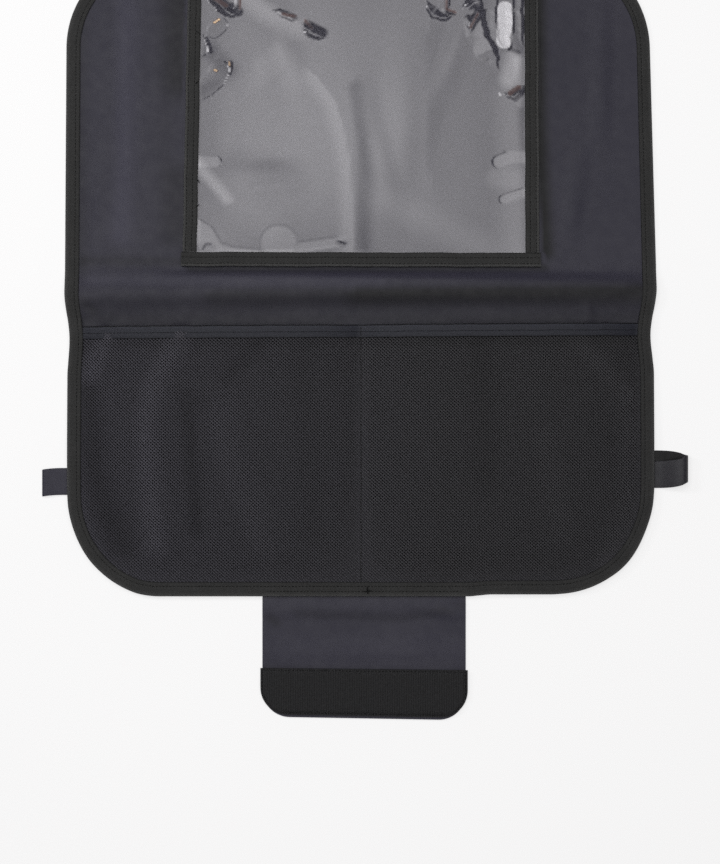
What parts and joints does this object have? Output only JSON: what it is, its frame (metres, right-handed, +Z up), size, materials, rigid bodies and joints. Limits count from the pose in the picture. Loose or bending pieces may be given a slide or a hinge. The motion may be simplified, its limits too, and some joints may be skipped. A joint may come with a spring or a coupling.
{
  "type": "car seat protector mat",
  "caption": "Flat cloth seat mat with bound round corners, a clear window pocket, net pockets, side loops and a tab with a hook-and-loop end.",
  "frame": {"origin": "on the ground under the middle of the mat's overall box, side loops and bottom tab included", "axes": "+Z up out of the mat's face as it lies, +Y towards its top edge, +X to the right seen from above"},
  "size_m": [0.5022, 0.5978, 0.0123],
  "materials": {
    "coated_cloth": "satin coated",
    "ribbed_tape": "matte ribbed",
    "smooth_tape": "satin",
    "net_yarn": "matte net",
    "hook_pile": "matte hooks",
    "sewing_thread": "satin thread",
    "clear_film": "clear gloss"
  },
  "bodies": {
    "root": {"back_panel": "coated_cloth", "edge_binding": "ribbed_tape", "net_pocket": "net_yarn", "pocket_hem": "smooth_tape", "pocket_divider_seam": "sewing_thread", "window_backing": "coated_cloth", "window_film": "clear_film", "window_tape_left": "ribbed_tape", "window_tape_right": "ribbed_tape", "window_tape_foot": "ribbed_tape", "window_tape_head": "ribbed_tape", "tab_panel": "coated_cloth", "tab_fastener": "hook_pile", "side_loop_left": "coated_cloth", "side_loop_right": "coated_cloth"}
  },
  "joints": []
}
